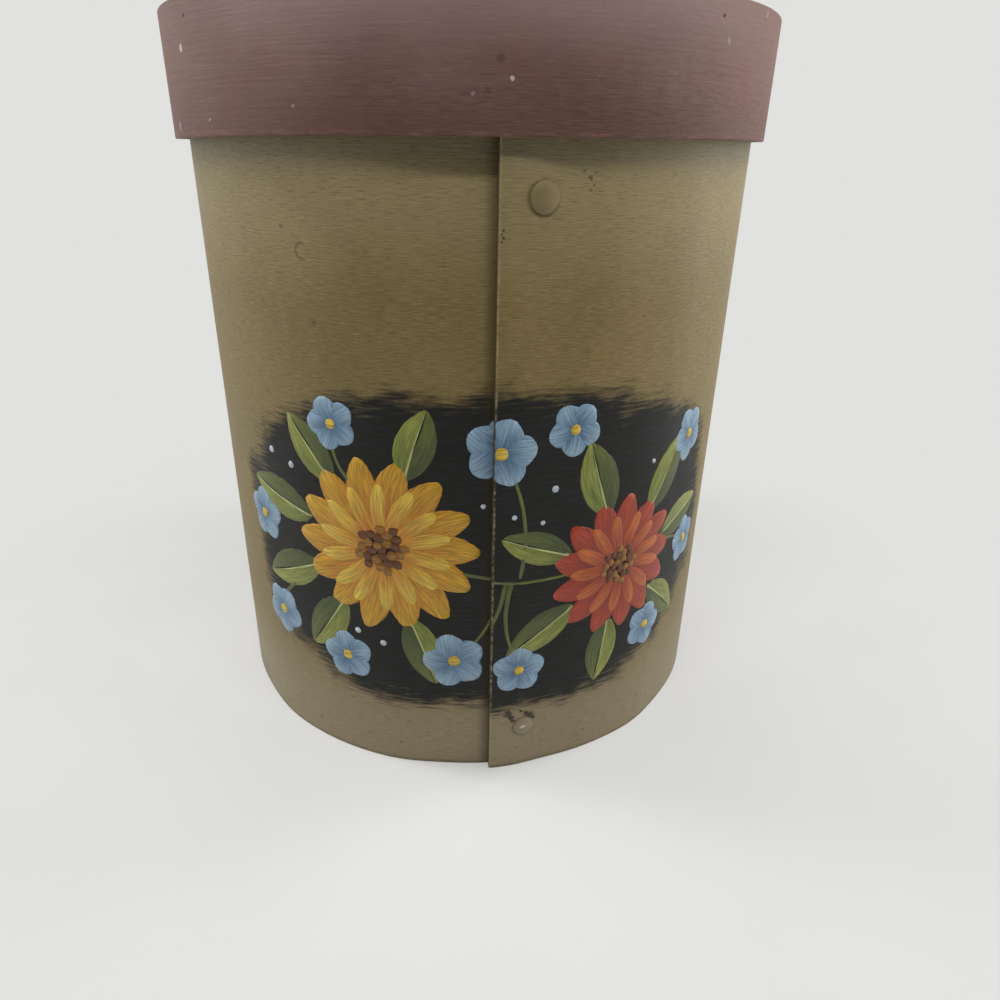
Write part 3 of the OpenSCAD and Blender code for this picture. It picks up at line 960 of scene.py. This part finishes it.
def leaf(spray, x, z, angle, long, wide, lift):
    """A leaf of two strokes, one lit and one shaded, with a pale rib."""
    tip = (x + long * math.cos(angle), z + long * math.sin(angle))
    lit = tones("#6f7a2e", "#a3a74e", "#8d9440")
    shaded = tones("#3f4a20", "#6b752f", "#4c5726")
    widths = [wide * 0.56 * math.sin(math.pi * (0.04 + 0.94 * i / 10) ** 0.85) ** 0.9 for i in range(11)]
    for bow, tints in ((0.27 * wide, lit), (-0.27 * wide, shaded)):
        brush(spray, bowed((x, z), tip, bow, 11), widths, lift, 0.12, tints)
    widths = [0.8 * (1 - 0.85 * i / 8) for i in range(9)]
    brush(spray, bowed((x, z), tip, 0.3, 9), widths, lift + 0.16, 0.05, tones("#c3c887") * 3)


def daisy(spray, x, z, radius, petals, tints, heart):
    """A flower of two rings of petals about a heart of dabs."""
    for ring, (reach, wide, lift) in enumerate(((1.0, 1.3, 0.1), (0.74, 1.1, 0.24))):
        for i in range(petals):
            angle = TURN * (i + 0.5 * ring) / petals + 0.12 * noise.noise((i * 1.7, radius, ring * 2.0))
            long = radius * reach * (1 + 0.07 * noise.noise((i * 2.3, radius, 4.0 + ring)))
            width = wide * TURN * radius * reach * 0.62 / petals
            petal(spray, x, z, angle, radius * 0.14, long, width, lift + 0.015 * (i % 3), tints[ring])
    dabs = 26
    for i in range(dabs):
        away, angle = radius * 0.27 * math.sqrt(i / dabs), i * 2.4
        dab(spray, x + away * math.cos(angle), z + away * math.sin(angle), radius * 0.12, 0.42,
            heart[i % len(heart)])


def five_petals(spray, x, z, radius, turn):
    """A small blue flower with a yellow eye."""
    blue = tones("#4f7698", "#a9c6da", "#7ea4c2")
    for i in range(5):
        angle, lift = turn + TURN * i / 5, 0.14 + 0.02 * (i % 2)
        petal(spray, x, z, angle, radius * 0.1, radius, radius * 0.98, lift, blue)
    dab(spray, x, z, radius * 0.42, 0.36, tones("#d9b526", "#e8cf5e", "#c98a22"))


def flower_spray():
    """The painted spray: two daisies, small blue flowers, leaves and stems across the seam."""
    spray = {"count": 0, "verts": [], "faces": [], "paint": [], "stroke": []}
    green = tones("#56632a", "#7b8436", "#3d4720")
    stems = (((-78, 44), (-32, 78), 6.0), ((-32, 82), (42, 74), -7.0), ((44, 70), (79, 66), 4.0),
             ((-38, 98), (-46, 116), 3.0), ((8, 71), (2, 112), -4.0), ((4, 71), (-10, 43), 3.0),
             ((6, 71), (9, 41), -3.0), ((44, 60), (57, 44), 4.0))
    for start, end, bow in stems:
        widths = [1.6 - 0.06 * i for i in range(15)]
        brush(spray, bowed(start, end, bow, 15), widths, 0.05, 0.08, green)
    sprigs = ((-32, 80, 24, ((166, 28, 12), (204, 28, 12), (128, 24, 11), (72, 22, 11), (236, 26, 12),
                             (288, 26, 11))),
              (42, 70, 19, ((14, 26, 11), (56, 28, 12), (108, 26, 12), (158, 24, 10), (214, 26, 11),
                            (262, 24, 11), (318, 26, 11))))
    taken = [(-32, 80, 31), (42, 70, 26)]
    for x, z, away, leaves in sprigs:
        for angle, long, wide in leaves:
            turn = math.radians(angle)
            leaf(spray, x + away * math.cos(turn), z + away * math.sin(turn), turn, long, wide, 0.05)
            for reach in (away + 0.3 * long, away + 0.7 * long, away + long):
                taken.append((x + reach * math.cos(turn), z + reach * math.sin(turn), wide / 2 + 2))
    yellow = [tones("#c26a1c", "#dcb02a", "#cf8a22"), tones("#cf7a20", "#ecd052", "#dba932")]
    red = [tones("#7d2416", "#c0492a", "#96301c"), tones("#98301b", "#d97a35", "#b8472a")]
    hearts = [tones("#5a3218", "#7c4a20", "#45240f"), tones("#8a5a26", "#b5832f", "#6a3f1a")]
    daisy(spray, -32, 80, 29, 14, yellow, hearts)
    daisy(spray, 42, 70, 24, 13, red, hearts)
    blues = ((-79, 80, 9.0, 0.2), (-74, 46, 9.0, 0.9), (-46, 39, 9.0, 0.4), (-11, 42, 10.0, 0.5),
             (9, 39, 8.5, 1.4), (2, 112, 10.0, 0.0), (23, 117, 8.0, 0.8), (72, 106, 9.0, 0.7),
             (79, 66, 8.5, 0.3), (57, 42, 8.5, 1.1), (-46, 117, 8.0, 0.6))
    for x, z, radius, turn in blues:
        five_petals(spray, x, z, radius, turn)
        taken.append((x, z, radius + 2))
    # Pale dots, only where the ground is bare
    pale = tones("#dfe8ee", "#c9d8e2", "#b4c8d6")
    for i in range(60):
        x = -76 + 152 * ((i * 0.618) % 1.0)
        z = 40 + 70 * ((i * 0.755 + 0.1) % 1.0)
        if all(math.hypot(x - a, z - b) > radius for a, b, radius in taken):
            dab(spray, x, z, 1.6 + 0.6 * (i % 2), 0.1, pale)
    return spray


def dress(piece, body, slot, *nodes):
    """Hides the CAD nodes that a finished piece is drawn in place of, and lets it ride on its body."""
    if nodes:
        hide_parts(*nodes)
    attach(piece, body)


def ring_of(lid):
    """Places along the flat board of one ring of brads."""
    size = settings()[0]
    if lid:
        pitch = TURN / size.lid_brads
        first = (size.lid_turn - size.lid_seam) % pitch
        return [(first + pitch * i) * LID_RADIUS for i in range(size.lid_brads)]
    pitch = TURN / size.bottom_brads
    places = [(size.bottom_turn + pitch * i) * BODY_RADIUS for i in range(size.bottom_brads)]
    return [size.lap_brad * BODY_RADIUS / (BODY_RADIUS + BODY_STEP)] + places[1:]


class PANTRYBOX_OT_bands(bpy.types.Operator):
    """Bends the boards of the body and the lid round and laps each on itself"""
    bl_idname = "pantry_box.bands"
    bl_label = "Bent Bands"

    def execute(self, context):
        size = settings()[0]
        bare = bare_wood("bare_bent_wood", True)
        lots = (("bent_body_band", "body_band", "box", "khaki_painted_wood", khaki_paint(),
                 BAND_LOW.z, BAND_HIGH.z, "bottom_brads"),
                ("bent_lid_band", "lid_band", "lid", "maroon_painted_wood",
                 maroon_paint("maroon_flat_paint_on_bent_wood", True), LID_LOW.z, LID_HIGH.z, "lid_brads"))
        for name, node, body, slot, paint, low, high, brads in lots:
            lid = body == "lid"
            values = bend_values(lid)
            long = values["Radius"] * (TURN + values["Lap Angle"] + UNDER_RAMP * values["Ramp Angle"])
            sag = lid_sag if lid else lambda x: 0.0
            pits = [(x, size.stopped_pit if lid and i % OPEN_EVERY != OPEN_BRAD else size.pit)
                    for i, x in enumerate(ring_of(lid))]
            piece = board(name, long, low, high, values["Wall"], pits, middle_z(brads), sag)
            shape(piece, "Bent band", {**values, "Paint": paint, "Bare": bare})
            dress(piece, body, slot, node)
        return {"FINISHED"}


class PANTRYBOX_OT_boards(bpy.types.Operator):
    """Turns the round boards of the bottom and the lid"""
    bl_idname = "pantry_box.boards"
    bl_label = "Round Boards"

    def execute(self, context):
        bare = bare_wood("bare_board", False)
        painted = maroon_paint("maroon_flat_paint_on_board", False)
        lots = (("round_bottom_board", "bottom_panel", "box", "bare_wood", bare),
                ("round_lid_board", "lid_panel", "lid", "maroon_painted_wood", painted))
        for name, node, body, slot, top in lots:
            low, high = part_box(node)
            radius, ease = (high.x - low.x) / 2, 0.4 * MM
            arcs = [math.radians(EASE_ANGLE * i) for i in range(EASE_STEPS)]
            flats = [r * MM for r in (0.1, 15, 30, 45, 60, 75) if r * MM < radius]
            flats.append(radius - ease - 0.3 * MM)
            under = [(r, low.z) for r in flats]
            under += [(radius - ease + ease * math.sin(a), low.z + ease - ease * math.cos(a)) for a in arcs]
            over = [(r, low.z + high.z - z) for r, z in reversed(under)]
            piece = lathe(name, under + over, BOARD_SIDES, upright=True)
            piece.data.transform(Matrix.Translation(((low.x + high.x) / 2, (low.y + high.y) / 2, 0)))
            if body == "box":
                self.follow_spring(piece.data, radius)
            piece.data.materials.append(top)
            piece.data.materials.append(bare)
            for face in piece.data.polygons:
                face.material_index = 0 if face.center.z > high.z - ease else 1
            outward(piece)
            dress(piece, body, slot, node)
        return {"FINISHED"}

    def follow_spring(self, mesh, radius):
        """Lets the bottom board's edge follow the band where it springs out of round."""
        for vert in mesh.vertices:
            angle = math.degrees(math.atan2(vert.co.x, -vert.co.y))
            out = sum(rise * smooth_step(start, end, angle) for start, end, rise in SPRING) * MM
            vert.co.xy *= 1 + out * vert.co.xy.length / radius ** 2


class PANTRYBOX_OT_brads(bpy.types.Operator):
    """Drives the brads that hold the two round boards"""
    bl_idname = "pantry_box.brads"
    bl_label = "Sunk Brads"

    def execute(self, context):
        size, tints = settings()[:2]
        sink = size.brad_sink / MM
        profile = [(0.03, 0.0), (0.4, 0.01), (0.75, -0.05), (0.9, -0.14), (0.9, -0.5), (0.6, -0.55),
                   (0.6, -13.6), (0.35, -14.9), (0.03, -15.7)]
        lots = ((False, "sunk_bottom_brads", "bottom_brads", "box", tints.khaki_deep),
                (True, "sunk_lid_brads", "lid_brads", "lid", tints.maroon_deep))
        for lid, name, node, body, paint in lots:
            places = ring_of(lid)
            pitch = places[2] - places[1]
            first = places[1] - pitch
            values = {**bend_values(lid), "Count": len(places), "First": (first, 0.0, middle_z(node)),
                      "Pitch": (pitch, 0.0, 0.0), "First Shift": (places[0] - first, 0.0, 0.0),
                      "First Scale": FULL_SIZE, "Finish": coated_brad("painted_brad_steel_" + body, paint)}
            piece = lathe(name, [(r * MM, (y - sink) * MM) for r, y in profile], BRAD_SIDES)
            shape(piece, "Fasteners in a band", values)
            dress(piece, body, "brad_steel", node)
        return {"FINISHED"}


class PANTRYBOX_OT_rivets(bpy.types.Operator):
    """Sets the seam rivets and the caps that hold them inside"""
    bl_idname = "pantry_box.rivets"
    bl_label = "Seam Rivets"

    def execute(self, context):
        size, tints = settings()[:2]
        plated = plated_steel()
        crown = [(1.5, 0.0), (3.5, 0.0), (3.8, 0.05), (3.9, 0.16), (3.9, 0.3), (3.8, 0.46), (3.5, 0.66),
                 (2.9, 0.94), (2.0, 1.22), (1.1, 1.39), (0.5, 1.44), (0.03, 1.45)]
        ring = [(1.55, 0.0), (3.4, 0.0), (3.85, -0.12), (3.9, -0.3), (3.6, -0.52), (2.8, -0.66),
                (1.55, -0.7)]
        # The body's lower rivet, the first in its row, has the smaller head
        lots = ((False, "box", "seam_rivets", "seam_rivet_back_caps",
                 ("lower_seam_rivet", "upper_seam_rivet"), ("lower_rivet_back_cap", "upper_rivet_back_cap"),
                 "khaki_painted_steel", *tones("#8e7e58", "#82734b"), (0.86, 1.0, 0.86)),
                (True, "lid", "lid_rivet", "lid_rivet_back_cap_set", ("lid_seam_rivet",),
                 ("lid_rivet_back_cap",), "maroon_painted_steel", tints.maroon, tints.maroon_deep,
                 FULL_SIZE))
        for lid, body, name, cap_name, nodes, cap_nodes, slot, paint, deep, head in lots:
            bend = bend_values(lid)
            narrow = bend["Radius"] / (bend["Radius"] + bend["Step"])
            deep_in = -(bend["Step"] + bend["Wall"]) / MM
            low = middle_z(nodes[0])
            values = {**bend, "Count": len(nodes), "First": (size.rivet_inset * narrow, 0.0, low),
                      "Pitch": (0.0, 0.0, middle_z(nodes[-1]) - low)}
            post = [(0.03, deep_in - 0.68), (1.2, deep_in - 0.68), (1.45, deep_in - 0.5)]
            rivet = lathe(name, [(r * MM, y * MM) for r, y in post + crown], RIVET_SIDES, narrow=narrow)
            coat = painted_steel(slot.replace("painted", "coated"), paint, deep)
            shape(rivet, "Fasteners in a band", {**values, "First Scale": head, "Finish": coat})
            dress(rivet, body, slot, *nodes)
            profile = [(r * MM, (deep_in + y) * MM) for r, y in ring]
            cap = lathe(cap_name, profile, RIVET_SIDES, closed=True, narrow=narrow)
            shape(cap, "Fasteners in a band", {**values, "First Scale": FULL_SIZE, "Finish": plated})
            dress(cap, body, "rivet_steel", *cap_nodes)
        return {"FINISHED"}


class PANTRYBOX_OT_flowers(bpy.types.Operator):
    """Paints the flower spray on the front"""
    bl_idname = "pantry_box.flowers"
    bl_label = "Painted Flowers"

    def execute(self, context):
        spray = flower_spray()
        piece = new_object("painted_flowers", spray["verts"], spray["faces"])
        for name, kind, field in (("paint", "FLOAT_COLOR", "color"), ("stroke", "FLOAT_VECTOR", "vector")):
            layer = piece.data.attributes.new(name, kind, "POINT")
            layer.data.foreach_set(field, [c for value in spray[name] for c in value])
        acrylic = brush_paint()
        shape(piece, "Bent band", {**bend_values(False), "Paint": acrylic, "Bare": acrylic})
        dress(piece, "box", "khaki_painted_wood")
        return {"FINISHED"}


class PANTRYBOX_OT_stage(bpy.types.Operator):
    """Lays the paper sweep and sets the lamps, the world and the camera"""
    bl_idname = "pantry_box.stage"
    bl_label = "Stage"

    def execute(self, context):
        scene = context.scene
        scene.view_settings.view_transform = "Standard"
        self.sweep()
        self.light(scene, settings()[2])
        self.aim(scene)
        return {"FINISHED"}

    def sweep(self):
        """Lays the paper flat under the box and curves it up behind."""
        front, flat_end, back, top, half_wide, curve = -1.6, 0.45, 0.95, 1.8, 1.8, 0.4
        bend = [math.radians(6 * i) for i in range(16)]
        profile = [(front, 0.0), (0.0, 0.0), (flat_end, 0.0)]
        profile += [(back - curve + curve * math.sin(a), curve - curve * math.cos(a)) for a in bend]
        profile += [(back, top)]
        verts = [(x, y, z) for y, z in profile for x in (-half_wide, half_wide)]
        faces = [(2 * i, 2 * i + 1, 2 * i + 3, 2 * i + 2) for i in range(len(profile) - 1)]
        sheet = new_object("paper_sweep", verts, faces)
        sheet.data.materials.append(backdrop_paper())
        for face in sheet.data.polygons:
            face.use_smooth = True

    def light(self, scene, stage):
        """Sets soft strips and walls round the box, and a world that only the eye sees."""
        middle = Vector((0.0, 0.0, 0.11))
        lamps = (("front_strip", (0.0, -0.36, 0.66), 0.7, 0.03, stage.key),
                 ("left_strip", (-0.3, 0.02, 0.6), 0.08, 0.25, stage.side_strip),
                 ("right_strip", (0.3, 0.02, 0.6), 0.08, 0.25, stage.side_strip * 0.55),
                 ("left_wall", (-0.5, -0.04, 0.28), 0.5, 0.5, stage.wall),
                 ("right_wall", (0.5, -0.04, 0.28), 0.5, 0.5, stage.wall * 1.7),
                 ("back_wall", (0.0, 0.5, 0.34), 0.5, 0.5, stage.wall * 0.7))
        for name, place, wide, high, watts in lamps:
            data = bpy.data.lights.new(name, "AREA")
            data.shape, data.size, data.size_y, data.energy = "RECTANGLE", wide, high, watts
            lamp = bpy.data.objects.new(name, data)
            lamp.location = place
            lamp.rotation_euler = (middle - Vector(place)).to_track_quat("-Z", "Y").to_euler()
            lamp.visible_camera = False
            scene.collection.objects.link(lamp)
        world = bpy.data.worlds.new("soft_tent")
        scene.world = world
        world.use_nodes = True
        sky = next(n for n in world.node_tree.nodes if n.type == "BACKGROUND")
        sky.inputs["Color"].default_value = linear("#e2e2e0")
        seen = add(world.node_tree, "ShaderNodeLightPath", out="Is Camera Ray")
        world.node_tree.links.new(seen, sky.inputs["Strength"])

    def aim(self, scene):
        """Sets the camera where the photograph was taken from."""
        data = bpy.data.cameras.new("camera")
        data.sensor_width, data.lens, data.shift_x, data.clip_start = SENSOR, LENS, SHIFT_X, 10 * MM
        camera = bpy.data.objects.new("camera", data)
        turns = [Matrix.Rotation(math.radians(angle), 4, axis) for angle, axis in CAMERA_TURNS]
        camera.matrix_world = Matrix.Translation(CAMERA_PLACE) @ turns[0] @ turns[1] @ turns[2]
        scene.collection.objects.link(camera)
        scene.camera = camera


class PANTRYBOX_PT_sidebar(bpy.types.Panel):
    """Steps and settings of the pantry box"""
    bl_idname = "PANTRYBOX_PT_sidebar"
    bl_label = "Pantry Box"
    bl_space_type = "VIEW_3D"
    bl_region_type = "UI"
    bl_category = "Pantry Box"

    def draw(self, context):
        for step in STEPS:
            self.layout.operator(step.bl_idname)
        for group in settings():
            column = self.layout.column(align=True)
            for name in group.__annotations__:
                column.prop(group, name)


STEPS = (PANTRYBOX_OT_stage, PANTRYBOX_OT_bands, PANTRYBOX_OT_boards, PANTRYBOX_OT_brads,
         PANTRYBOX_OT_rivets, PANTRYBOX_OT_flowers)
GROUPS = {"pantry_box_sizes": PantryBoxSizes, "pantry_box_colours": PantryBoxColours,
          "pantry_box_stage": PantryBoxStage}


def register():
    for item in (*GROUPS.values(), *STEPS, PANTRYBOX_PT_sidebar):
        bpy.utils.register_class(item)
    for name, group in GROUPS.items():
        setattr(bpy.types.Scene, name, PointerProperty(type=group))


def unregister():
    for name in GROUPS:
        delattr(bpy.types.Scene, name)
    for item in (PANTRYBOX_PT_sidebar, *reversed(STEPS), *reversed(GROUPS.values())):
        bpy.utils.unregister_class(item)


def main():
    register()
    bpy.ops.pantry_box.stage()
    bpy.ops.pantry_box.bands()
    bpy.ops.pantry_box.boards()
    bpy.ops.pantry_box.brads()
    bpy.ops.pantry_box.rivets()
    bpy.ops.pantry_box.flowers()


if __name__ == "__main__":
    main()
